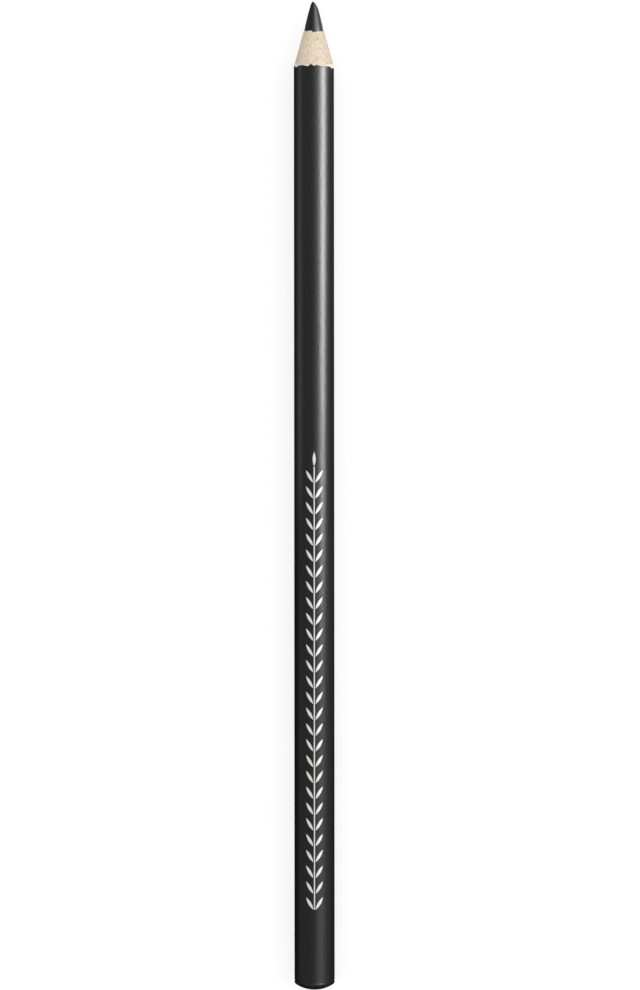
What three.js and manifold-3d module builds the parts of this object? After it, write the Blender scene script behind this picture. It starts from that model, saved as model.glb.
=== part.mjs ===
// A wood-cased kohl pencil, lying on its side with its sharpened point towards +Y.
// Two grooved slats are glued round a soft core, and the stick is primed and lacquered.
// One end is turned to a dome and dipped in lacquer, and the other is sharpened.
// Millimetres, +Z up. The origin is where the middle of the barrel meets the surface it lies on.

import * as THREE from "three";
import { mergeVertices } from "three/addons/utils/BufferGeometryUtils.js";
import Module from "manifold-3d";

const wasm = await Module();
wasm.setup();

// Driving dimensions of the stick
const PENCIL_LENGTH = 172; // from the tip to the crown of the domed end
const BARREL_DIAMETER = 7; // over the lacquer
const CORE_DIAMETER = 3.25;
const GROOVE_CLEARANCE = 0.03; // round the core, in the slats' grooves
const GLUE_THICKNESS = 0.1; // between the flat faces of the slats
const PRIMER_THICKNESS = 0.05;
const LACQUER_THICKNESS = 0.1;

// Driving dimensions of the sharpened point
const POINT_LENGTH = 11.5; // from the tip to where the blade leaves the barrel
const BARE_CORE_LENGTH = 5.05; // core that stands out of the wood
const WOOD_RIM = 0.1; // wood left standing round the core
const TIP_RADIUS = 0.4;
const TIP_WEAR_DEPTH = 0.2; // rubbed off the tip's +X side in use
const TIP_WEAR_ANGLE = 52; // between the worn flat's normal and the axis, in degrees

// Driving dimensions of the dipped end
const END_DOME_RADIUS = 5.9;
const END_CORNER_RADIUS = 0.4; // between the dome and the barrel
const DIP_THICKNESS = 0.3; // lacquer over the turned end of the wood
const DIP_LENGTH = 1.7; // from the crown to the dip's edge on the barrel

// The lacquer's edge at the point is ragged: it slants a little, and the blade chips it back
// in places and leaves short slivers standing forward, which have a negative depth here.
// Angles run from the top of the barrel towards +X, in degrees.
const EDGE_SLANT = 0.4; // how far the edge falls back from one side of the barrel to the other
const EDGE_SLANT_START = -45; // where it falls back least
const CHIP_SHOULDER = 9; // angle over which a chip reaches its depth
const EDGE_CHIPS = [
  { angle: -67, halfWidth: 14, depth: 0.36 },
  { angle: -20, halfWidth: 10, depth: 0.15 },
  { angle: -8, halfWidth: 8, depth: -0.28 },
  { angle: 8, halfWidth: 7, depth: -0.15 },
  { angle: 76, halfWidth: 19, depth: 0.26 },
  { angle: 118, halfWidth: 10, depth: -0.2 },
  { angle: 141, halfWidth: 13, depth: 0.18 },
  { angle: 176, halfWidth: 9, depth: -0.16 },
  { angle: 207, halfWidth: 16, depth: 0.22 },
  { angle: 240, halfWidth: 8, depth: -0.14 },
  { angle: 262, halfWidth: 10, depth: 0.14 },
];

// How finely round forms are faceted
const FACETS = 64; // round the barrel, a multiple of 4
const TIP_STEPS = 6;
const DOME_STEPS = 4;
const CORNER_STEPS = 4;

// Radii from the core outwards, and places along the axis
const coreRadius = CORE_DIAMETER / 2;
const grooveRadius = coreRadius + GROOVE_CLEARANCE;
const barrelRadius = BARREL_DIAMETER / 2;
const primerRadius = barrelRadius - LACQUER_THICKNESS;
const woodRadius = primerRadius - PRIMER_THICKNESS;
const rimRadius = coreRadius + WOOD_RIM;
const tipY = PENCIL_LENGTH / 2;
const crownY = -PENCIL_LENGTH / 2;
const woodFrontY = tipY - BARE_CORE_LENGTH;
const pointStartY = tipY - POINT_LENGTH;
const dipEdgeY = crownY + DIP_LENGTH;
const domeCentreY = crownY + END_DOME_RADIUS;
const turnedEndRadius = END_DOME_RADIUS - DIP_THICKNESS;
const axisHeight = barrelRadius * Math.cos(Math.PI / FACETS);

const point = (radius, y) => new THREE.Vector2(radius, y);

// Where the sharpener's cone has a given radius.
function coneY(radius) {
  const slope = (barrelRadius - rimRadius) / (POINT_LENGTH - BARE_CORE_LENGTH);
  return pointStartY + (barrelRadius - radius) / slope;
}

// A stretch of a dome about the common centre of the pencil's end, from one radius out to another.
function domeArc(domeRadius, fromRadius, toRadius) {
  const angleAt = (radius) => -Math.acos(radius / domeRadius);
  const arc = new THREE.EllipseCurve(
    0, domeCentreY, domeRadius, domeRadius, angleAt(fromRadius), angleAt(toRadius),
  );
  return arc.getPoints(DOME_STEPS);
}

// The end of the wood and core as the lathe leaves it, broken where one piece meets the next.
const turnedCoreEnd = domeArc(turnedEndRadius, 0, coreRadius);
const turnedGap = domeArc(turnedEndRadius, coreRadius, grooveRadius);
const turnedWoodEnd = domeArc(turnedEndRadius, grooveRadius, woodRadius);

// A closed body of revolution about the pencil's axis, with one facet facing straight down.
// The profile's points are (radius, y), and run up the outside.
function turn(profile) {
  return new THREE.LatheGeometry(profile, FACETS, Math.PI / FACETS);
}

function toSolid(geometry) {
  const bare = geometry.clone().deleteAttribute("normal").deleteAttribute("uv");
  const merged = mergeVertices(bare);
  return new wasm.Manifold(
    new wasm.Mesh({
      numProp: 3,
      vertProperties: merged.attributes.position.array,
      triVerts: new Uint32Array(merged.index.array),
    }),
  );
}

function toGeometry(solid) {
  const { vertProperties, triVerts } = solid.getMesh();
  const geometry = new THREE.BufferGeometry();
  geometry.setAttribute("position", new THREE.BufferAttribute(vertProperties, 3));
  geometry.setIndex(new THREE.BufferAttribute(triVerts, 1));
  geometry.computeVertexNormals();
  return geometry;
}

// The soft core: a turned rear end, a straight stick, and a cone that runs into a round tip,
// with a small flat where the tip is worn.
function makeCore() {
  const tipCentreY = tipY - TIP_RADIUS;
  const flankLength = tipCentreY - woodFrontY;
  const toTipCentre = Math.hypot(coreRadius, flankLength);
  const coneAngle = Math.atan2(coreRadius, flankLength) - Math.asin(TIP_RADIUS / toTipCentre);
  const tip = new THREE.EllipseCurve(
    0, tipCentreY, TIP_RADIUS, TIP_RADIUS, coneAngle, Math.PI / 2,
  );
  const core = turn([
    ...turnedCoreEnd,
    point(coreRadius, woodFrontY),
    ...tip.getPoints(TIP_STEPS),
  ]);
  const worn = new THREE.BoxGeometry(CORE_DIAMETER, CORE_DIAMETER, CORE_DIAMETER);
  worn.translate(0, TIP_RADIUS - TIP_WEAR_DEPTH + coreRadius, 0);
  worn.rotateZ(-THREE.MathUtils.degToRad(TIP_WEAR_ANGLE));
  worn.translate(0, tipCentreY, 0);
  return toGeometry(toSolid(core).subtract(toSolid(worn)));
}

// The casing as one sharpened tube, before it is parted along the glue line.
function makeCasing() {
  return turn([
    ...turnedWoodEnd,
    point(woodRadius, coneY(woodRadius)),
    point(rimRadius, woodFrontY),
    point(grooveRadius, woodFrontY),
    turnedWoodEnd[0],
  ]);
}

// The part of the casing that lies between two heights and two widths about the axis.
function cutCasing(casing, [fromX, toX], [fromZ, toZ]) {
  const block = new THREE.BoxGeometry(toX - fromX, 2 * PENCIL_LENGTH, toZ - fromZ);
  block.translate((fromX + toX) / 2, 0, (fromZ + toZ) / 2);
  return toGeometry(casing.intersect(toSolid(block)));
}

// One coat of the barrel, from the dip's edge to the sharpener's cone.
function makeCoat(innerRadius, outerRadius) {
  return turn([
    point(innerRadius, dipEdgeY),
    point(outerRadius, dipEdgeY),
    point(outerRadius, coneY(outerRadius)),
    point(innerRadius, coneY(innerRadius)),
    point(innerRadius, dipEdgeY),
  ]);
}

// How far the lacquer's edge lies behind the sharpener's cone at an angle round the barrel.
function edgeSetback(angle) {
  const slantTurn = THREE.MathUtils.degToRad(angle - EDGE_SLANT_START);
  let setback = (EDGE_SLANT * (1 - Math.cos(slantTurn))) / 2;
  for (const chip of EDGE_CHIPS) {
    const away = Math.abs(THREE.MathUtils.euclideanModulo(angle - chip.angle + 180, 360) - 180);
    const floor = Math.max(chip.halfWidth - CHIP_SHOULDER, 0);
    setback += chip.depth * (1 - THREE.MathUtils.smoothstep(away, floor, chip.halfWidth));
  }
  return setback;
}

// The lacquer is a coat whose front edge is drawn back by the slant and the chips.
function makeLacquer() {
  const coat = makeCoat(primerRadius, barrelRadius);
  const position = coat.attributes.position;
  for (let i = 0; i < position.count; i++) {
    const atFront = position.getY(i) > pointStartY - LACQUER_THICKNESS;
    if (!atFront) continue;
    const angle = THREE.MathUtils.radToDeg(Math.atan2(position.getX(i), position.getZ(i)));
    position.setY(i, position.getY(i) - edgeSetback(angle));
  }
  return coat;
}

// The dip: a lacquer cup over the turned end, with a domed outside and a rounded corner.
function makeDip() {
  const cornerRadius = barrelRadius - END_CORNER_RADIUS;
  const toCorner = END_DOME_RADIUS - END_CORNER_RADIUS;
  const cornerAngle = -Math.acos(cornerRadius / toCorner);
  const cornerY = domeCentreY + toCorner * Math.sin(cornerAngle);
  const corner = new THREE.EllipseCurve(
    cornerRadius, cornerY, END_CORNER_RADIUS, END_CORNER_RADIUS, cornerAngle, 0,
  );
  const domeEdgeRadius = END_DOME_RADIUS * Math.cos(cornerAngle);
  const inside = [...turnedCoreEnd, ...turnedGap.slice(1), ...turnedWoodEnd.slice(1)];
  return turn([
    ...domeArc(END_DOME_RADIUS, 0, domeEdgeRadius),
    ...corner.getPoints(CORNER_STEPS).slice(1),
    point(barrelRadius, dipEdgeY),
    point(woodRadius, dipEdgeY),
    ...inside.reverse(),
  ]);
}

// Finishes, from which each piece gets a material of its own
const kohl = { color: 0x1e1e20, roughness: 0.5, metalness: 0 };
const paleWood = { color: 0xe6d3b6, roughness: 0.75, metalness: 0 };
const woodGlue = { color: 0xd8c49c, roughness: 0.6, metalness: 0 };
const primer = { color: 0xefe9dc, roughness: 0.8, metalness: 0 };
const blackLacquer = { color: 0x202021, roughness: 0.35, metalness: 0 };

const pencil = new THREE.Group();
pencil.position.z = axisHeight;

function add(name, geometry, finish) {
  const mesh = new THREE.Mesh(geometry, new THREE.MeshStandardMaterial(finish));
  mesh.name = name;
  pencil.add(mesh);
}

// The parting plane is level with the axis, and the glue fills it on both sides of the core.
const casing = toSolid(makeCasing());
const halfGlue = GLUE_THICKNESS / 2;
const outside = BARREL_DIAMETER;

add("kohl_core", makeCore(), kohl);
add("upper_slat", cutCasing(casing, [-outside, outside], [halfGlue, outside]), paleWood);
add("lower_slat", cutCasing(casing, [-outside, outside], [-outside, -halfGlue]), paleWood);
add("left_glue_line", cutCasing(casing, [-outside, 0], [-halfGlue, halfGlue]), woodGlue);
add("right_glue_line", cutCasing(casing, [0, outside], [-halfGlue, halfGlue]), woodGlue);
add("primer_coat", makeCoat(woodRadius, primerRadius), primer);
add("lacquer_coat", makeLacquer(), blackLacquer);
add("end_dip", makeDip(), blackLacquer);

const part = new THREE.Group();
part.add(pencil);

export default part;
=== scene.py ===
# A wood-cased kohl pencil, lying on a white table and seen straight from above.
# Lengths are in metres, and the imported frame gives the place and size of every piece.

import math

import bpy
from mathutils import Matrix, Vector, noise


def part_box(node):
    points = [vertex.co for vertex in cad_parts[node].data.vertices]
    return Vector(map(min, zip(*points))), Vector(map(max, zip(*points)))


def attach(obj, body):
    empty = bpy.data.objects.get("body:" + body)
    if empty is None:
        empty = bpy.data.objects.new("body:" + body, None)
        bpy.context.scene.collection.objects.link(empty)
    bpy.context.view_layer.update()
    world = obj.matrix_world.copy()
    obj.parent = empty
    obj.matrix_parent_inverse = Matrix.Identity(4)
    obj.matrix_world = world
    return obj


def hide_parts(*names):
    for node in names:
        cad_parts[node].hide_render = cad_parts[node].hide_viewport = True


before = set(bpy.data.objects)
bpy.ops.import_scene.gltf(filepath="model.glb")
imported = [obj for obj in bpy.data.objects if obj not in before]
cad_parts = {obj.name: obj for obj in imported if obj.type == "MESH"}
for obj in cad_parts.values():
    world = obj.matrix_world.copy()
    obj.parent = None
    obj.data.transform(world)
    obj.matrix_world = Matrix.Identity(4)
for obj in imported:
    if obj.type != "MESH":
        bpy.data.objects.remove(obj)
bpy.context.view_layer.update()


# The table, the lamps and the camera
# A white laminate table under a dim even sky. A wide lamp overhead and a soft fill at each side light the
# matte surfaces. A panel, slim lamps and small cards show only in gloss. Sheets that only gloss sees paint
# darker reflections of the table in grey, and a contact shadow in black.

MM = 0.001

lacquer_low, lacquer_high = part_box("lacquer_coat")
core_low, core_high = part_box("kohl_core")
dip_low, dip_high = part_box("end_dip")
axis_z = (lacquer_low.z + lacquer_high.z) / 2
tip_y = core_high.y
crown_y = dip_low.y

SKY_LEVEL = 0.35
FLOOR_SIZE = 12.0
FLOOR_GLOW = 0.72
OVERHEAD_SIZE = 2.4
OVERHEAD_HEIGHT = 1.4
OVERHEAD_BRIGHTNESS = 0.62
FILL_ANGLE = math.radians(62)
FILL_DISTANCE = 1.0
FILL_SIZE = 1.0
LEFT_FILL_BRIGHTNESS = 0.65
RIGHT_FILL_BRIGHTNESS = 1.25
PANEL_ANGLE = math.radians(36)
PANEL_DISTANCE = 0.7
PANEL_LENGTH = 2.2
PANEL_WIDTH = 0.6
PANEL_BRIGHTNESS = 0.9
STRIP_ANGLE = math.radians(55.5)
STRIP_DISTANCE = 178 * MM
STRIP_FROM = -19 * MM
STRIP_TO = 170 * MM
STRIP_WIDTH = 70 * MM
STRIP_SKEW = math.radians(-22)
STRIP_SPREAD = math.radians(100)
STRIP_BRIGHTNESS = 22.4
CORE_LAMP_ANGLE = math.radians(35)
CORE_LAMP_FROM = 128 * MM
CORE_LAMP_TO = 215 * MM
CORE_LAMP_WIDTH = 125 * MM
CORE_LAMP_BRIGHTNESS = 7.5
CARD_ANGLE = math.radians(-86)
CARD_DISTANCE = 34 * MM
CARD_FROM = 0 * MM
CARD_TO = 150 * MM
CARD_WIDTH = 6 * MM
CARD_BRIGHTNESS = 0.95
MAT_REACH = 100 * MM
NARROW_MAT_REACH = 60 * MM
CONTACT_REACH = 9.5 * MM
END_MAT_REACH = 7.2 * MM
MAT_FROM = -140 * MM
MAT_SPLIT = -5 * MM
MAT_TO = 130 * MM
MAT_LIFT = 0.05 * MM
END_CARD_PLACE = (9.5 * MM, -110 * MM, 6.5 * MM)
END_CARD_WIDTH = 7 * MM
END_CARD_HEIGHT = 12 * MM
END_CARD_BRIGHTNESS = 6.0

PHOTO_HEIGHT = 990
PHOTO_WIDTH = 640
TIP_ROW = 1.5
CROWN_ROW = 989.65
AXIS_COLUMN = 314.22
CAMERA_LENS = 800.0
CAMERA_SENSOR = 36.0
CAMERA_ROLL = math.radians(-0.045)


def linear(colour):
    """The linear colour of an sRGB hex value such as "e6d3b6"."""
    shares = [int(colour[i : i + 2], 16) / 255 for i in (0, 2, 4)]
    return [s / 12.92 if s <= 0.04045 else ((s + 0.055) / 1.055) ** 2.4 for s in shares] + [1.0]


def add_node(tree, kind, inputs=None, **settings):
    """Adds a node with its settings. inputs maps a socket to a value, or to the output that feeds it."""
    node = tree.nodes.new(kind)
    for name, value in settings.items():
        setattr(node, name, value)
    for socket, value in (inputs or {}).items():
        if isinstance(value, bpy.types.NodeSocket):
            tree.links.new(value, node.inputs[socket])
        else:
            node.inputs[socket].default_value = value
    return node


def new_material(name):
    """A new material with its node tree and its shader."""
    material = bpy.data.materials.new(name)
    material.use_nodes = True
    return material, material.node_tree, material.node_tree.nodes["Principled BSDF"]


def add_lamp(name, place, target, length, width, brightness):
    """A rectangular lamp aimed at a target, of the brightness at which it shows in a mirror."""
    bpy.ops.object.light_add(type="AREA", location=place)
    lamp = bpy.context.object
    lamp.name = name
    lamp.rotation_euler = (Vector(target) - Vector(place)).to_track_quat("-Z", "Y").to_euler()
    lamp.data.shape = "RECTANGLE"
    lamp.data.size = length
    lamp.data.size_y = width
    lamp.data.energy = 4 * brightness * length * width
    lamp.visible_camera = False
    return lamp


def add_side_lamp(name, angle, distance, start, end, width, brightness):
    """A lamp beside the pencil and along it, at an angle from the vertical towards the right."""
    middle = Vector((0, (start + end) / 2, axis_z))
    place = middle + Vector((math.sin(angle), 0, math.cos(angle))) * distance
    return add_lamp(name, place, middle, end - start, width, brightness)


# White laminate: matte, and as bright to the eye as the white ground of a studio picture.
floor_white, tree, shader = new_material("white_laminate")
shader.inputs["Base Color"].default_value = linear("a0a0a0")
shader.inputs["Roughness"].default_value = 0.9
shader.inputs["Specular IOR Level"].default_value = 0.0
rays = add_node(tree, "ShaderNodeLightPath")
seen = rays.outputs["Is Camera Ray"]
for ray in ("Is Glossy Ray", "Is Transmission Ray"):
    either = add_node(tree, "ShaderNodeMath", {0: seen, 1: rays.outputs[ray]}, operation="ADD")
    seen = either.outputs[0]
glow = add_node(tree, "ShaderNodeMath", {0: seen, 1: FLOOR_GLOW}, operation="MULTIPLY")
tree.links.new(glow.outputs[0], shader.inputs["Emission Strength"])
shader.inputs["Emission Color"].default_value = (1, 1, 1, 1)

bpy.ops.object.select_all(action="DESELECT")
bpy.ops.mesh.primitive_plane_add(size=FLOOR_SIZE)
floor = bpy.context.object
floor.name = "table"
floor.data.materials.append(floor_white)

sky = bpy.data.worlds.new("dim_sky")
sky.use_nodes = True
sky.node_tree.nodes["Background"].inputs["Color"].default_value = (1, 1, 1, 1)
sky.node_tree.nodes["Background"].inputs["Strength"].default_value = SKY_LEVEL
bpy.context.scene.world = sky

overhead = add_lamp(
    "overhead_lamp", (0, 0, OVERHEAD_HEIGHT), (0, 0, 0), OVERHEAD_SIZE, OVERHEAD_SIZE, OVERHEAD_BRIGHTNESS
)
half_fill = FILL_SIZE / 2
left_fill = add_side_lamp(
    "left_fill", -FILL_ANGLE, FILL_DISTANCE, -half_fill, half_fill, FILL_SIZE, LEFT_FILL_BRIGHTNESS
)
right_fill = add_side_lamp(
    "right_fill", FILL_ANGLE, FILL_DISTANCE, -half_fill, half_fill, FILL_SIZE, RIGHT_FILL_BRIGHTNESS
)
for lamp in (overhead, left_fill, right_fill):
    lamp.visible_glossy = False
half_panel = PANEL_LENGTH / 2
panel = add_side_lamp(
    "side_panel", PANEL_ANGLE, PANEL_DISTANCE, -half_panel, half_panel, PANEL_WIDTH, PANEL_BRIGHTNESS
)
strip = add_side_lamp(
    "strip_lamp", STRIP_ANGLE, STRIP_DISTANCE, STRIP_FROM, STRIP_TO, STRIP_WIDTH, STRIP_BRIGHTNESS
)
strip.rotation_euler.rotate_axis("Z", STRIP_SKEW)
strip.data.shape = "ELLIPSE"
strip.data.spread = STRIP_SPREAD
# An ellipse has less area than its rectangle, and a grid draws the light together.
strip.data.energy *= math.pi / 4 * (1 - STRIP_SPREAD / 2 / math.tan(STRIP_SPREAD / 2))
core_lamp = add_side_lamp(
    "core_lamp",
    CORE_LAMP_ANGLE,
    STRIP_DISTANCE,
    CORE_LAMP_FROM,
    CORE_LAMP_TO,
    CORE_LAMP_WIDTH,
    CORE_LAMP_BRIGHTNESS,
)
card = add_side_lamp(
    "left_card", CARD_ANGLE, CARD_DISTANCE, CARD_FROM, CARD_TO, CARD_WIDTH, CARD_BRIGHTNESS
)
end_target = (0, crown_y, END_CARD_PLACE[2])
end_card = add_lamp(
    "end_card", END_CARD_PLACE, end_target, END_CARD_WIDTH, END_CARD_HEIGHT, END_CARD_BRIGHTNESS
)
for lamp in (panel, strip, core_lamp, card, end_card):
    lamp.visible_diffuse = False

# Sheets on the table that only gloss sees paint darker reflections of its white, in greys set for each
# part of the barrel. The black sheets paint the reflection of a contact shadow.
for name, left, right, start, end, grey in (
    ("point_mat", -MAT_REACH, 0, lacquer_high.y, MAT_TO, "6c6c6c"),
    ("upper_left_mat", -MAT_REACH, -CONTACT_REACH, MAT_SPLIT, lacquer_high.y, "6c6c6c"),
    ("upper_right_mat", CONTACT_REACH, NARROW_MAT_REACH, MAT_SPLIT, lacquer_high.y, "383838"),
    ("lower_left_mat", -MAT_REACH, -CONTACT_REACH, crown_y, MAT_SPLIT, "303030"),
    ("lower_right_mat", CONTACT_REACH, MAT_REACH, crown_y, MAT_SPLIT, "606060"),
    # Black sheets along the pencil and just past its end: a painted contact shadow, seen only in gloss.
    ("painted_contact_shadow_sheet", -CONTACT_REACH, CONTACT_REACH, crown_y, lacquer_high.y, "050505"),
    ("painted_end_shadow_sheet", -MAT_REACH, MAT_REACH, crown_y - END_MAT_REACH, crown_y, "050505"),
    ("far_end_mat", -MAT_REACH, MAT_REACH, MAT_FROM, crown_y - END_MAT_REACH, "808080"),
):
    painted_reflection_sheet, tree, shader = new_material("painted_reflection_sheet")
    shader.inputs["Base Color"].default_value = linear(grey)
    shader.inputs["Roughness"].default_value = 0.9
    bpy.ops.mesh.primitive_plane_add(size=1, location=((left + right) / 2, (start + end) / 2, MAT_LIFT))
    mat = bpy.context.object
    mat.name = name
    mat.scale = (right - left, end - start, 1)
    mat.data.materials.append(painted_reflection_sheet)
    mat.visible_camera = False
    mat.visible_diffuse = False
    mat.visible_shadow = False
    mat.visible_transmission = False

metres_per_pixel = (tip_y - crown_y) / (CROWN_ROW - TIP_ROW)
camera_height = PHOTO_HEIGHT * metres_per_pixel * CAMERA_LENS / CAMERA_SENSOR
camera_x = (PHOTO_WIDTH / 2 - AXIS_COLUMN) * metres_per_pixel
camera_y = tip_y - (PHOTO_HEIGHT / 2 - TIP_ROW) * metres_per_pixel
bpy.ops.object.camera_add(
    location=(camera_x, camera_y, axis_z + camera_height), rotation=(0, 0, CAMERA_ROLL)
)
camera = bpy.context.object
camera.name = "camera"
camera.data.lens = CAMERA_LENS
camera.data.sensor_width = CAMERA_SENSOR
bpy.context.scene.camera = camera
bpy.context.scene.view_settings.view_transform = "Standard"


# The kohl core
# A soft stick of wax and black pigment, extruded and glued into the grooves of the slats.
# Its cone swells a little, and use has rubbed the tip off on one side.

slat_low, slat_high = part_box("upper_slat")
core_radius = (core_high.x - core_low.x) / 2
wood_front_y = slat_high.y
TIP_RADIUS = 0.48 * MM
# Facets of wear: the angle of each from the axis in degrees, and its depth.
TIP_WEAR = [(46, 0.22 * MM), (62, 0.17 * MM), (-4, 0.02 * MM)]
CORE_SWELL = 0.1 * MM
WEAR_BEVEL = 0.04 * MM
WEAR_BEVEL_STEPS = 3
WEAR_ANGLE = math.radians(20)
BUTT_BEVEL = 0.5 * MM
CUT_TOLERANCE = 0.0001 * MM
# Points that lie closer than this touch.
TOUCH = 0.001 * MM
CORE_STEPS = 96
SWELL_STEPS = 12
TIP_STEPS = 10


def turn(name, profile, steps):
    """Draws a vertex along a profile of (radius, y) points and spins the line about the pencil's axis."""
    bpy.ops.object.select_all(action="DESELECT")
    bpy.ops.mesh.primitive_plane_add(size=MM)
    piece = bpy.context.object
    piece.name = name
    piece.data.name = name
    bpy.ops.object.mode_set(mode="EDIT")
    bpy.ops.mesh.select_all(action="SELECT")
    bpy.ops.mesh.merge(type="CENTER")
    place = Vector((0, 0, 0))
    for radius, y in profile:
        step = Vector((radius, y, axis_z)) - place
        if place.length == 0:
            bpy.ops.transform.translate(value=step)
        else:
            bpy.ops.mesh.extrude_vertices_move(TRANSFORM_OT_translate={"value": step})
        place += step
    bpy.ops.mesh.select_all(action="SELECT")
    bpy.ops.mesh.spin(steps=steps, angle=math.tau, center=(0, 0, axis_z), axis=(0, 1, 0))
    bpy.ops.mesh.select_all(action="SELECT")
    bpy.ops.mesh.remove_doubles(threshold=TOUCH)
    bpy.ops.mesh.normals_make_consistent(inside=False)
    bpy.ops.object.mode_set(mode="OBJECT")
    return piece


def slice_off(place, normal):
    """Cuts the active piece by a plane, takes away what lies on the normal's side and closes the cut."""
    bpy.ops.object.mode_set(mode="EDIT")
    bpy.ops.mesh.select_all(action="SELECT")
    bpy.ops.mesh.bisect(
        plane_co=place, plane_no=normal, use_fill=True, clear_outer=True, threshold=CUT_TOLERANCE
    )
    bpy.ops.object.mode_set(mode="OBJECT")


def arc(centre_radius, centre_y, radius, angles):
    """The points of a profile's arc, at the given angles about its centre."""
    return [(centre_radius + radius * math.cos(a), centre_y + radius * math.sin(a)) for a in angles]


tip_centre_y = tip_y - TIP_RADIUS
flank_length = tip_centre_y - wood_front_y
to_tip_centre = math.hypot(core_radius, flank_length)
cone_angle = math.atan2(core_radius, flank_length) - math.asin(TIP_RADIUS / to_tip_centre)
tip_angles = [cone_angle + (math.pi / 2 - cone_angle) * i / TIP_STEPS for i in range(TIP_STEPS)]
tip_edge_radius = TIP_RADIUS * math.cos(cone_angle)
tip_edge_y = tip_centre_y + TIP_RADIUS * math.sin(cone_angle)
swollen_flank = []
for i in range(SWELL_STEPS):
    share = i / SWELL_STEPS
    straight_radius = core_radius + (tip_edge_radius - core_radius) * share
    radius = straight_radius + CORE_SWELL * math.sqrt(math.sin(math.pi * share))
    swollen_flank.append((radius, wood_front_y + (tip_edge_y - wood_front_y) * share))
core = turn(
    "kohl_stick",
    [(0, core_low.y), (core_radius, core_low.y + BUTT_BEVEL)]
    + swollen_flank
    + arc(0, tip_centre_y, TIP_RADIUS, tip_angles)
    + [(0, tip_y)],
    CORE_STEPS,
)
for degrees, depth in TIP_WEAR:
    wear_way = Vector((math.sin(math.radians(degrees)), math.cos(math.radians(degrees)), 0))
    slice_off(Vector((0, tip_centre_y, axis_z)) + wear_way * (TIP_RADIUS - depth), wear_way)
bpy.ops.object.modifier_add(type="BEVEL")
core.modifiers["Bevel"].width = WEAR_BEVEL
core.modifiers["Bevel"].segments = WEAR_BEVEL_STEPS
core.modifiers["Bevel"].limit_method = "ANGLE"
core.modifiers["Bevel"].angle_limit = WEAR_ANGLE
bpy.ops.object.modifier_apply(modifier="Bevel")
bpy.ops.object.shade_smooth_by_angle(angle=WEAR_ANGLE)

# Kohl: wax full of carbon black. It is satin, with fine scores along the cone and a grain of pigment,
# which is drawn coarser than it is, so that it shows.
SCORE_WIDTH = 0.09 * MM
SCORE_LENGTH = 1.4 * MM
PIGMENT_GRAIN = 0.16 * MM
SCORE_DEPTH = 0.003 * MM

# A colour Mix node's sockets: its factor, its two colours and its result.
FACTOR, FIRST, SECOND, MIXED = 0, 6, 7, 2

kohl, tree, shader = new_material("kohl_wax")
place = add_node(tree, "ShaderNodeTexCoord").outputs["Object"]
along = add_node(
    tree,
    "ShaderNodeMapping",
    {"Vector": place, "Scale": (1 / SCORE_WIDTH, 1 / SCORE_LENGTH, 1 / SCORE_WIDTH)},
)
scores = add_node(tree, "ShaderNodeTexNoise", {"Vector": along.outputs[0], "Scale": 1.0, "Detail": 2.0})
pigment = add_node(tree, "ShaderNodeTexNoise", {"Vector": place, "Scale": 1 / PIGMENT_GRAIN, "Detail": 3.0})
shade = add_node(
    tree,
    "ShaderNodeMix",
    {FACTOR: pigment.outputs["Fac"], FIRST: linear("08080a"), SECOND: linear("141416")},
    data_type="RGBA",
)
sheen = add_node(
    tree,
    "ShaderNodeMapRange",
    {"Value": pigment.outputs["Fac"], "From Min": 0.3, "From Max": 0.7, "To Min": 0.4, "To Max": 0.5},
)
relief = add_node(
    tree, "ShaderNodeBump", {"Height": scores.outputs["Fac"], "Distance": SCORE_DEPTH, "Strength": 1.0}
)
tree.links.new(shade.outputs[MIXED], shader.inputs["Base Color"])
tree.links.new(sheen.outputs["Result"], shader.inputs["Roughness"])
tree.links.new(relief.outputs["Normal"], shader.inputs["Normal"])
shader.inputs["Specular IOR Level"].default_value = 0.38
core.data.materials.append(kohl)
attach(core, "root")
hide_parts("kohl_core")


# The slats
# Two half-round slats of pale, fine-grained wood, grooved for the core and glued round it.
# The sharpener has cut them to a cone, which shows the grain as long flames, and frayed their rim.

primer_low, primer_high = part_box("primer_coat")
wood_radius = (slat_high.x - slat_low.x) / 2
cone_back_y = primer_high.y
GROOVE_CLEARANCE = 0.03 * MM
WOOD_RIM = 0.1 * MM
GLUE_THICKNESS = 0.1 * MM
TURNED_END_DEPTH = 1.0 * MM
CUT_ROUGHNESS = 0.02 * MM
CUT_GRAIN = Vector((0.35, 1.4, 0.35)) * MM
RIM_FRAY = 0.08 * MM
RIM_GRAIN = 0.3 * MM
SMOOTH_ANGLE = math.radians(30)
WOOD_STEPS = 192
FLANK_STEPS = 18

# How far the rim lies behind the front of the wood in millimetres, by the angle in degrees from the top.
RIM_OUTLINE = [
    (-90, 0.0), (-64, 0.06), (-47, 0.16), (-36, 0.1), (-22, 0.04), (-11, 0.08), (-6, 0.28), (-2, 0.36),
    (2, 0.26), (10, 0.26), (20, 0.2), (40, 0.16), (75, 0.12), (120, 0.0), (180, 0.1), (230, 0.0),
    (270, 0.0),
]

groove_radius = core_radius + GROOVE_CLEARANCE
rim_radius = core_radius + WOOD_RIM
cone_slope = (wood_radius - rim_radius) / (wood_front_y - cone_back_y)


def cone_y(radius):
    """Where the sharpener's cone has a given radius."""
    return wood_front_y - (radius - rim_radius) / cone_slope


def setback(outline, point):
    """How far an edge lies back at a point, in metres, between the points of its outline."""
    degrees = math.degrees(math.atan2(point.x, point.z - axis_z))
    degrees = degrees + 360 if degrees < -90 else degrees
    for (a, back), (b, next_back) in zip(outline, outline[1:]):
        if a <= degrees <= b:
            return (back + (next_back - back) * (degrees - a) / (b - a)) * MM
    raise ValueError(degrees)


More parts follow.
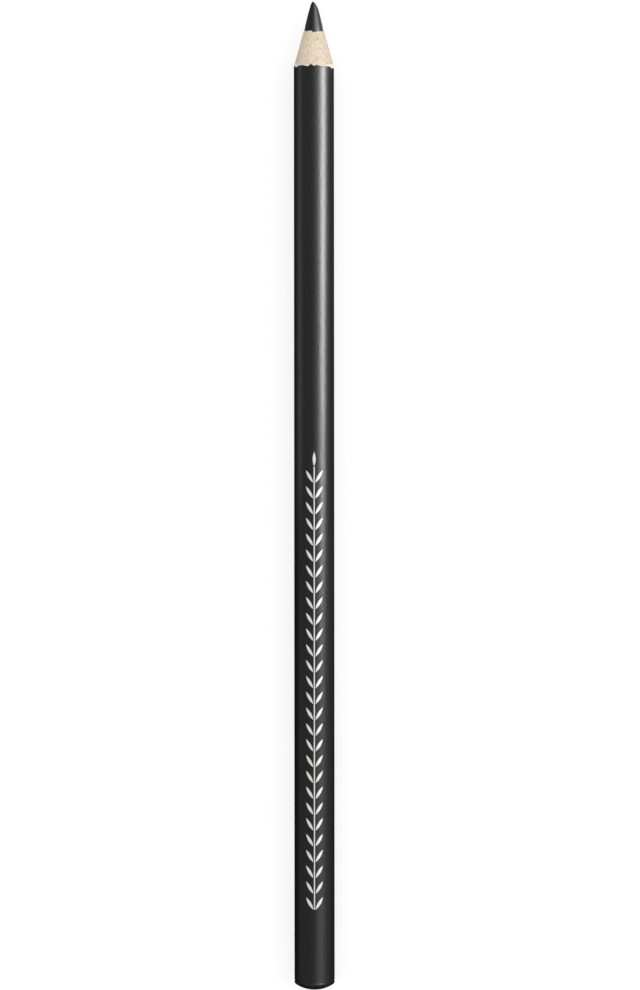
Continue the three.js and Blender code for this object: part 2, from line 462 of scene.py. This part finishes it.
def part_casing(name, way):
    """One slat: a copy of the casing, with what lies past the glue on the way's side cut off."""
    bpy.ops.object.select_all(action="DESELECT")
    casing.select_set(True)
    bpy.context.view_layer.objects.active = casing
    bpy.ops.object.duplicate()
    slat = bpy.context.object
    slat.name = name
    slat.data.name = name
    slice_off(Vector((0, 0, axis_z)) - way * GLUE_THICKNESS / 2, way)
    bpy.ops.object.shade_smooth_by_angle(angle=SMOOTH_ANGLE)
    return slat


flank = [wood_radius + (rim_radius - wood_radius) * i / FLANK_STEPS for i in range(FLANK_STEPS + 1)]
casing = turn(
    "casing",
    [(groove_radius, slat_low.y), (wood_radius, slat_low.y + TURNED_END_DEPTH)]
    + [(radius, cone_y(radius)) for radius in flank]
    + [(groove_radius, wood_front_y), (groove_radius, slat_low.y)],
    WOOD_STEPS,
)
for vertex in casing.data.vertices:
    spoke = Vector((vertex.co.x, 0, vertex.co.z - axis_z))
    if vertex.co.y > wood_front_y - TOUCH:
        vertex.co.y += RIM_FRAY * noise.noise(vertex.co / RIM_GRAIN) - setback(RIM_OUTLINE, vertex.co)
    elif vertex.co.y > cone_back_y + TOUCH:
        grain_place = Vector([c / g for c, g in zip(vertex.co, CUT_GRAIN)])
        vertex.co += spoke.normalized() * CUT_ROUGHNESS * noise.noise(grain_place)
upper_slat = part_casing("upper_wood_slat", Vector((0, 0, -1)))
lower_slat = part_casing("lower_wood_slat", Vector((0, 0, 1)))
bpy.data.objects.remove(casing)

# Basswood under a blade: pale pinkish cream, with flames of denser wood where the cone cuts its growth
# rings, fine fibres, short pores and pale flecks. Oil from the core has yellowed it near the rim.
# The fibres and pores are drawn a few times their size, so that they show.
RING_WIDTH = 0.45 * MM
# The width of a ring in a Wave texture of scale 1.
RING_PERIOD = math.pi / 10
# The way from the middle of the growth rings to the origin.
PITH = Vector((6.4, 0, 17.5)) * MM
FIBRE_WIDTH = 0.12 * MM
FIBRE_LENGTH = 1.6 * MM
PORE_WIDTH = 0.2 * MM
PORE_LENGTH = 0.55 * MM
BLOTCH_SIZE = 1.8 * MM
OIL_REACH = 3.2 * MM
FIBRE_DEPTH = 0.02 * MM

pale_wood, tree, shader = new_material("blade_cut_basswood")
place = add_node(tree, "ShaderNodeTexCoord").outputs["Object"]
from_pith = add_node(tree, "ShaderNodeMapping", {"Vector": place, "Location": PITH})
rings = add_node(
    tree,
    "ShaderNodeTexWave",
    {"Vector": from_pith.outputs[0], "Scale": RING_PERIOD / RING_WIDTH, "Distortion": 4.0, "Detail": 3.0},
    wave_type="RINGS",
    rings_direction="Y",
)
along = add_node(
    tree,
    "ShaderNodeMapping",
    {"Vector": place, "Scale": (1 / FIBRE_WIDTH, 1 / FIBRE_LENGTH, 1 / FIBRE_WIDTH)},
)
fibres = add_node(tree, "ShaderNodeTexNoise", {"Vector": along.outputs[0], "Scale": 1.0, "Detail": 3.0})
along = add_node(
    tree,
    "ShaderNodeMapping",
    {"Vector": place, "Scale": (1 / PORE_WIDTH, 1 / PORE_LENGTH, 1 / PORE_WIDTH)},
)
pores = add_node(tree, "ShaderNodeTexNoise", {"Vector": along.outputs[0], "Scale": 1.0, "Detail": 1.0})
blotches = add_node(tree, "ShaderNodeTexNoise", {"Vector": place, "Scale": 1 / BLOTCH_SIZE, "Detail": 1.0})
shade = add_node(
    tree,
    "ShaderNodeMix",
    {FACTOR: blotches.outputs["Fac"], FIRST: linear("ede1c7"), SECOND: linear("eed9cb")},
    data_type="RGBA",
)
height = add_node(tree, "ShaderNodeSeparateXYZ", {0: place})
oil = add_node(
    tree,
    "ShaderNodeMapRange",
    {
        "Value": height.outputs["Y"],
        "From Min": wood_front_y - OIL_REACH,
        "From Max": wood_front_y,
        "To Min": 0.0,
        "To Max": 0.5,
    },
)
flame = add_node(
    tree,
    "ShaderNodeMapRange",
    {"Value": rings.outputs["Fac"], "From Min": 0.45, "From Max": 1.0, "To Min": 0.0, "To Max": 0.36},
)
streak = add_node(
    tree,
    "ShaderNodeMapRange",
    {"Value": fibres.outputs["Fac"], "From Min": 0.5, "From Max": 0.75, "To Min": 0.0, "To Max": 0.6},
)
pore = add_node(
    tree,
    "ShaderNodeMapRange",
    {"Value": pores.outputs["Fac"], "From Min": 0.58, "From Max": 0.7, "To Min": 0.0, "To Max": 0.45},
)
fleck = add_node(
    tree,
    "ShaderNodeMapRange",
    {"Value": pores.outputs["Fac"], "From Min": 0.42, "From Max": 0.3, "To Min": 0.0, "To Max": 4.5},
)
fleck = add_node(
    tree, "ShaderNodeMath", {0: fleck.outputs["Result"], 1: oil.outputs["Result"]}, operation="MULTIPLY"
)
for share, tint in (
    (oil.outputs["Result"], "dfcaa2"),
    (flame.outputs["Result"], "cfb48f"),
    (streak.outputs["Result"], "c0ab8c"),
    (pore.outputs["Result"], "a58a6b"),
    (fleck.outputs[0], "faf0dc"),
):
    shade = add_node(
        tree,
        "ShaderNodeMix",
        {FACTOR: share, FIRST: shade.outputs[MIXED], SECOND: linear(tint)},
        data_type="RGBA",
    )
relief = add_node(
    tree, "ShaderNodeBump", {"Height": fibres.outputs["Fac"], "Distance": FIBRE_DEPTH, "Strength": 1.0}
)
tree.links.new(shade.outputs[MIXED], shader.inputs["Base Color"])
tree.links.new(relief.outputs["Normal"], shader.inputs["Normal"])
shader.inputs["Roughness"].default_value = 0.75
shader.inputs["Specular IOR Level"].default_value = 0.3
for slat, node in ((upper_slat, "upper_slat"), (lower_slat, "lower_slat")):
    slat.data.materials.append(pale_wood)
    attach(slat, "root")
    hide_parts(node)


# The glue lines
# Thin strips of dried wood glue in the parting plane of the slats, on both sides of the core.
# They show as a fine line down each side of the cone.

# Dried wood glue: a tan film, with a few darker spots where it soaked into the wood.
GLUE_SPOT = 0.4 * MM

dry_glue, tree, shader = new_material("dry_wood_glue")
place = add_node(tree, "ShaderNodeTexCoord").outputs["Object"]
spots = add_node(tree, "ShaderNodeTexNoise", {"Vector": place, "Scale": 1 / GLUE_SPOT, "Detail": 2.0})
shade = add_node(
    tree,
    "ShaderNodeMix",
    {FACTOR: spots.outputs["Fac"], FIRST: linear("e2d2b4"), SECOND: linear("bfa57e")},
    data_type="RGBA",
)
tree.links.new(shade.outputs[MIXED], shader.inputs["Base Color"])
shader.inputs["Roughness"].default_value = 0.55
for node in ("left_glue_line", "right_glue_line"):
    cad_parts[node].data.materials.clear()
    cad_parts[node].data.materials.append(dry_glue)


# The primer
# A chalky white undercoat that seals the wood before the lacquer is drawn on. It shows as a bright margin
# where the blade has chipped the lacquer, and is scraped off to the right of the top.

primer_radius = (primer_high.x - primer_low.x) / 2
PRIMER_FRAY = 0.06 * MM
COAT_STEPS = 360

# How far the primer lies behind the sharpener's cone in millimetres, by the angle in degrees from the top.
PRIMER_OUTLINE = [
    (-90, 0.0), (-72, 0.0), (-60, 0.1), (3, 0.1), (9, 0.5), (31, 0.5), (38, 0.06), (60, 0.0), (150, 0.1),
    (270, 0.0),
]

primer_coat = turn(
    "primer_skin",
    [
        (wood_radius, dip_high.y),
        (primer_radius, dip_high.y),
        (primer_radius, cone_y(primer_radius)),
        (wood_radius, cone_y(wood_radius)),
        (wood_radius, dip_high.y),
    ],
    COAT_STEPS,
)
for vertex in primer_coat.data.vertices:
    if vertex.co.y > cone_y(primer_radius) - TOUCH:
        vertex.co.y += PRIMER_FRAY * noise.noise(vertex.co / RIM_GRAIN) - setback(PRIMER_OUTLINE, vertex.co)
bpy.ops.object.shade_smooth_by_angle(angle=SMOOTH_ANGLE)

# Primer: chalk in a thin binder, white and quite matte, with a fine grain that is drawn coarser to show.
CHALK_GRAIN = 0.25 * MM

chalk_primer, tree, shader = new_material("chalky_primer")
place = add_node(tree, "ShaderNodeTexCoord").outputs["Object"]
chalk = add_node(tree, "ShaderNodeTexNoise", {"Vector": place, "Scale": 1 / CHALK_GRAIN, "Detail": 2.0})
shade = add_node(
    tree,
    "ShaderNodeMix",
    {FACTOR: chalk.outputs["Fac"], FIRST: linear("fffdf8"), SECOND: linear("efeadf")},
    data_type="RGBA",
)
tree.links.new(shade.outputs[MIXED], shader.inputs["Base Color"])
shader.inputs["Roughness"].default_value = 0.85
primer_coat.data.materials.append(chalk_primer)
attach(primer_coat, "root")
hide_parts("primer_coat")


# The lacquer
# Several coats of black nitro lacquer, drawn on to the stick through a gasket and dried to a satin gloss.
# The blade has left its edge ragged, with chips at both sides and a short sliver near the top.

barrel_radius = (lacquer_high.x - lacquer_low.x) / 2
EDGE_SUPPORT = 1.5 * MM
EDGE_BEVEL = 0.06 * MM
EDGE_FRAY = 0.03 * MM
EDGE_GRAIN = 0.2 * MM
EDGE_SMOOTH_ANGLE = math.radians(10)
FURROW_DEPTH = 0.04 * MM
FURROW_WIDTH = 0.4 * MM

# How far the edge lies behind the sharpener's cone in millimetres, by the angle in degrees from the top.
EDGE_OUTLINE = [
    (-90, 0.05), (-80, 0.05), (-72, 0.25), (-66, 0.37), (-60, 0.25), (-50, 0.0), (-33, 0.0), (-25, 0.08),
    (-19, 0.16), (-14, 0.05), (-8.3, -0.24), (-3, 0.02), (1.4, 0.12), (4.5, 0.0), (7.4, -0.07), (11, 0.0),
    (15, 0.07), (20, 0.19), (40, 0.17), (52, 0.19), (57, 0.3), (61, 0.5), (90, 0.52), (104, 0.45),
    (112, 0.2), (118, 0.1), (126, 0.3), (140, 0.5), (152, 0.48), (176, 0.2), (186, 0.35), (207, 0.5),
    (222, 0.38), (240, 0.1), (250, 0.2), (262, 0.22), (270, 0.05),
]

lacquer = turn(
    "lacquer_skin",
    [
        (primer_radius, dip_high.y),
        (barrel_radius - FURROW_DEPTH, dip_high.y),
        (barrel_radius, dip_high.y + FURROW_WIDTH),
        (barrel_radius, cone_y(barrel_radius) - EDGE_SUPPORT),
        (barrel_radius, cone_y(primer_radius) - EDGE_BEVEL),
        (primer_radius, cone_y(primer_radius)),
        (primer_radius, cone_y(primer_radius) - EDGE_SUPPORT),
        (primer_radius, dip_high.y),
    ],
    COAT_STEPS,
)
for vertex in lacquer.data.vertices:
    if vertex.co.y > cone_y(barrel_radius) - EDGE_SUPPORT / 2:
        vertex.co.y -= setback(EDGE_OUTLINE, vertex.co) + EDGE_FRAY * noise.noise(vertex.co / EDGE_GRAIN)
bpy.ops.object.shade_smooth_by_angle(angle=EDGE_SMOOTH_ANGLE)

# Black nitro lacquer: satin, with a slight orange peel and the wood's grain faintly telegraphed through.
# The peel shades and spreads the gloss at a low angle, so the coat looks black along its outline.
PEEL_WIDTH = 0.22 * MM
PEEL_LENGTH = 0.32 * MM
GRAIN_WIDTH = 0.3 * MM
GRAIN_LENGTH = 9.0 * MM
PEEL_DEPTH = 0.04 * MM
GRAIN_DEPTH = 0.0035 * MM
# How far the surface leans from the eye, from 0 to 1, where the gloss starts and ends its fading.
LEAN_START = 0.47
LEAN_END = 0.63

black_lacquer, tree, shader = new_material("black_nitro_lacquer")
place = add_node(tree, "ShaderNodeTexCoord").outputs["Object"]
along = add_node(
    tree,
    "ShaderNodeMapping",
    {"Vector": place, "Scale": (1 / PEEL_WIDTH, 1 / PEEL_LENGTH, 1 / PEEL_WIDTH)},
)
peel = add_node(tree, "ShaderNodeTexNoise", {"Vector": along.outputs[0], "Scale": 1.0, "Detail": 2.0})
along = add_node(
    tree,
    "ShaderNodeMapping",
    {"Vector": place, "Scale": (1 / GRAIN_WIDTH, 1 / GRAIN_LENGTH, 1 / GRAIN_WIDTH)},
)
grain = add_node(tree, "ShaderNodeTexNoise", {"Vector": along.outputs[0], "Scale": 1.0, "Detail": 2.0})
sheen = add_node(
    tree,
    "ShaderNodeMapRange",
    {"Value": peel.outputs["Fac"], "From Min": 0.3, "From Max": 0.7, "To Min": 0.3, "To Max": 0.36},
)
relief = add_node(
    tree, "ShaderNodeBump", {"Height": grain.outputs["Fac"], "Distance": GRAIN_DEPTH, "Strength": 1.0}
)
relief = add_node(
    tree,
    "ShaderNodeBump",
    {
        "Height": peel.outputs["Fac"],
        "Distance": PEEL_DEPTH,
        "Strength": 1.0,
        "Normal": relief.outputs["Normal"],
    },
)
lean = add_node(tree, "ShaderNodeLayerWeight", {"Blend": 0.5})
gloss = add_node(
    tree,
    "ShaderNodeMapRange",
    {
        "Value": lean.outputs["Facing"],
        "From Min": LEAN_START,
        "From Max": LEAN_END,
        "To Min": 0.5,
        "To Max": 0.12,
    },
)
haze = add_node(
    tree,
    "ShaderNodeMapRange",
    {
        "Value": lean.outputs["Facing"],
        "From Min": LEAN_START,
        "From Max": LEAN_END,
        "To Min": 0.0,
        "To Max": 0.35,
    },
)
roughness = add_node(
    tree, "ShaderNodeMath", {0: sheen.outputs["Result"], 1: haze.outputs["Result"]}, operation="ADD"
)
tree.links.new(gloss.outputs["Result"], shader.inputs["Specular IOR Level"])
tree.links.new(roughness.outputs[0], shader.inputs["Roughness"])
tree.links.new(relief.outputs["Normal"], shader.inputs["Normal"])
shader.inputs["Base Color"].default_value = linear("0f0f0f")
lacquer.data.materials.append(black_lacquer)
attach(lacquer, "root")
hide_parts("lacquer_coat")


# The dipped end
# The end of the stick is turned to a shallow dome and dipped in the same black lacquer.
# The dip has drawn back to a rounded corner, and a fine furrow where it meets the barrel's coat.

DOME_RADIUS = 5.9 * MM
CORNER_RADIUS = 0.65 * MM
DIP_THICKNESS = 0.3 * MM
DOME_STEPS = 10
CORNER_STEPS = 8

dome_centre_y = crown_y + DOME_RADIUS
corner_centre_radius = barrel_radius - CORNER_RADIUS
to_corner = DOME_RADIUS - CORNER_RADIUS
corner_angle = -math.acos(corner_centre_radius / to_corner)
corner_centre_y = dome_centre_y + to_corner * math.sin(corner_angle)
dome_angles = [-math.pi / 2 + (corner_angle + math.pi / 2) * i / DOME_STEPS for i in range(1, DOME_STEPS)]
corner_angles = [corner_angle * (1 - i / CORNER_STEPS) for i in range(CORNER_STEPS + 1)]
inner_radius = DOME_RADIUS - DIP_THICKNESS
inner_edge = -math.acos(wood_radius / inner_radius)
inner_angles = [inner_edge + (-math.pi / 2 - inner_edge) * i / DOME_STEPS for i in range(DOME_STEPS)]
dip = turn(
    "dipped_end",
    [(0, crown_y)]
    + arc(0, dome_centre_y, DOME_RADIUS, dome_angles)
    + arc(corner_centre_radius, corner_centre_y, CORNER_RADIUS, corner_angles)
    + [(barrel_radius, dip_high.y - FURROW_WIDTH), (barrel_radius - FURROW_DEPTH, dip_high.y)]
    + [(wood_radius, dip_high.y)]
    + arc(0, dome_centre_y, inner_radius, inner_angles)
    + [(0, crown_y + DIP_THICKNESS)],
    COAT_STEPS,
)
bpy.ops.object.shade_smooth_by_angle(angle=SMOOTH_ANGLE)
dip.data.materials.append(black_lacquer)
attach(dip, "root")
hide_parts("end_dip")


# The stamped ornament
# A long sprig of paired leaves in matte silver foil, hot-stamped along the lower half of the barrel.
# The foil is a hundredth of a millimetre thick and follows the round of the lacquer.

SPRIG_START = -72.0 * MM
PAIR_COUNT = 28
PAIR_PITCH = 2.75 * MM
STEM_WIDTH = 0.2 * MM
STEM_STEPS = 12
LEAF_LENGTH = 2.5 * MM
LEAF_WIDTH = 0.52 * MM
LEAF_LEAN = math.radians(31)
LEAF_GAP = 0.1 * MM
LEAF_STEPS = (5, 17)
FOIL_THICKNESS = 0.012 * MM


def around(angle, radius, y):
    """The point at an angle from the top towards the right, at a radius from the pencil's axis."""
    return Vector((radius * math.sin(angle), y, axis_z + radius * math.cos(angle)))


def add_leaf(x, y, lean):
    """Adds to the foil a pointed leaf that grows from a place beside the stem and leans to the right."""
    bpy.ops.mesh.primitive_grid_add(x_subdivisions=LEAF_STEPS[0], y_subdivisions=LEAF_STEPS[1], size=2)
    leaf = bpy.context.object
    for vertex in leaf.data.vertices:
        across = vertex.co.x * (1 - vertex.co.y**2) * LEAF_WIDTH / 2
        along = (vertex.co.y + 1) * LEAF_LENGTH / 2
        vertex.co.x = x + along * math.sin(lean) + across * math.cos(lean)
        vertex.co.y = y + along * math.cos(lean) - across * math.sin(lean)
    foil.select_set(True)
    bpy.context.view_layer.objects.active = foil
    bpy.ops.object.join()
    bpy.ops.object.mode_set(mode="EDIT")
    bpy.ops.mesh.select_all(action="SELECT")
    bpy.ops.mesh.remove_doubles(threshold=TOUCH)
    bpy.ops.object.mode_set(mode="OBJECT")


bpy.ops.object.select_all(action="DESELECT")
bpy.ops.mesh.primitive_grid_add(x_subdivisions=2, y_subdivisions=STEM_STEPS, size=1)
foil = bpy.context.object
foil.name = "stamped_sprig"
foil.data.name = "stamped_sprig"
bpy.ops.object.mode_set(mode="EDIT")
bpy.ops.mesh.select_all(action="SELECT")
bpy.ops.transform.resize(value=(STEM_WIDTH, PAIR_PITCH, 1))
bpy.ops.object.mode_set(mode="OBJECT")
for side in (-1, 1):
    add_leaf(side * (STEM_WIDTH / 2 + LEAF_GAP), -PAIR_PITCH / 2, side * LEAF_LEAN)
bpy.ops.object.modifier_add(type="ARRAY")
pairs = foil.modifiers["Array"]
pairs.count = PAIR_COUNT
pairs.use_relative_offset = False
pairs.use_constant_offset = True
pairs.constant_offset_displace = (0, PAIR_PITCH, 0)
pairs.use_merge_vertices = True
pairs.merge_threshold = TOUCH
bpy.ops.object.modifier_apply(modifier="Array")
add_leaf(0, (PAIR_COUNT - 0.5) * PAIR_PITCH + LEAF_GAP, 0)
for vertex in foil.data.vertices:
    barrel_y = vertex.co.y + SPRIG_START + PAIR_PITCH / 2
    vertex.co = around(vertex.co.x / barrel_radius, barrel_radius, barrel_y)
bpy.ops.object.modifier_add(type="SOLIDIFY")
foil.modifiers["Solidify"].thickness = FOIL_THICKNESS
foil.modifiers["Solidify"].offset = 1
bpy.ops.object.modifier_apply(modifier="Solidify")
bpy.ops.object.shade_smooth_by_angle(angle=SMOOTH_ANGLE)

# Matte silver foil: fine aluminium flake in a clear binder, with a slightly uneven stamping. The flake is
# drawn several times its size, so that it shows.
FLAKE_SIZE = 0.12 * MM

silver_foil, tree, shader = new_material("matte_silver_foil")
place = add_node(tree, "ShaderNodeTexCoord").outputs["Object"]
flakes = add_node(tree, "ShaderNodeTexNoise", {"Vector": place, "Scale": 1 / FLAKE_SIZE, "Detail": 2.0})
shade = add_node(
    tree,
    "ShaderNodeMix",
    {FACTOR: flakes.outputs["Fac"], FIRST: linear("e9e9e7"), SECOND: linear("c4c4c2")},
    data_type="RGBA",
)
tree.links.new(shade.outputs[MIXED], shader.inputs["Base Color"])
shader.inputs["Metallic"].default_value = 0.2
shader.inputs["Roughness"].default_value = 0.5
foil.data.materials.append(silver_foil)
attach(foil, "root")
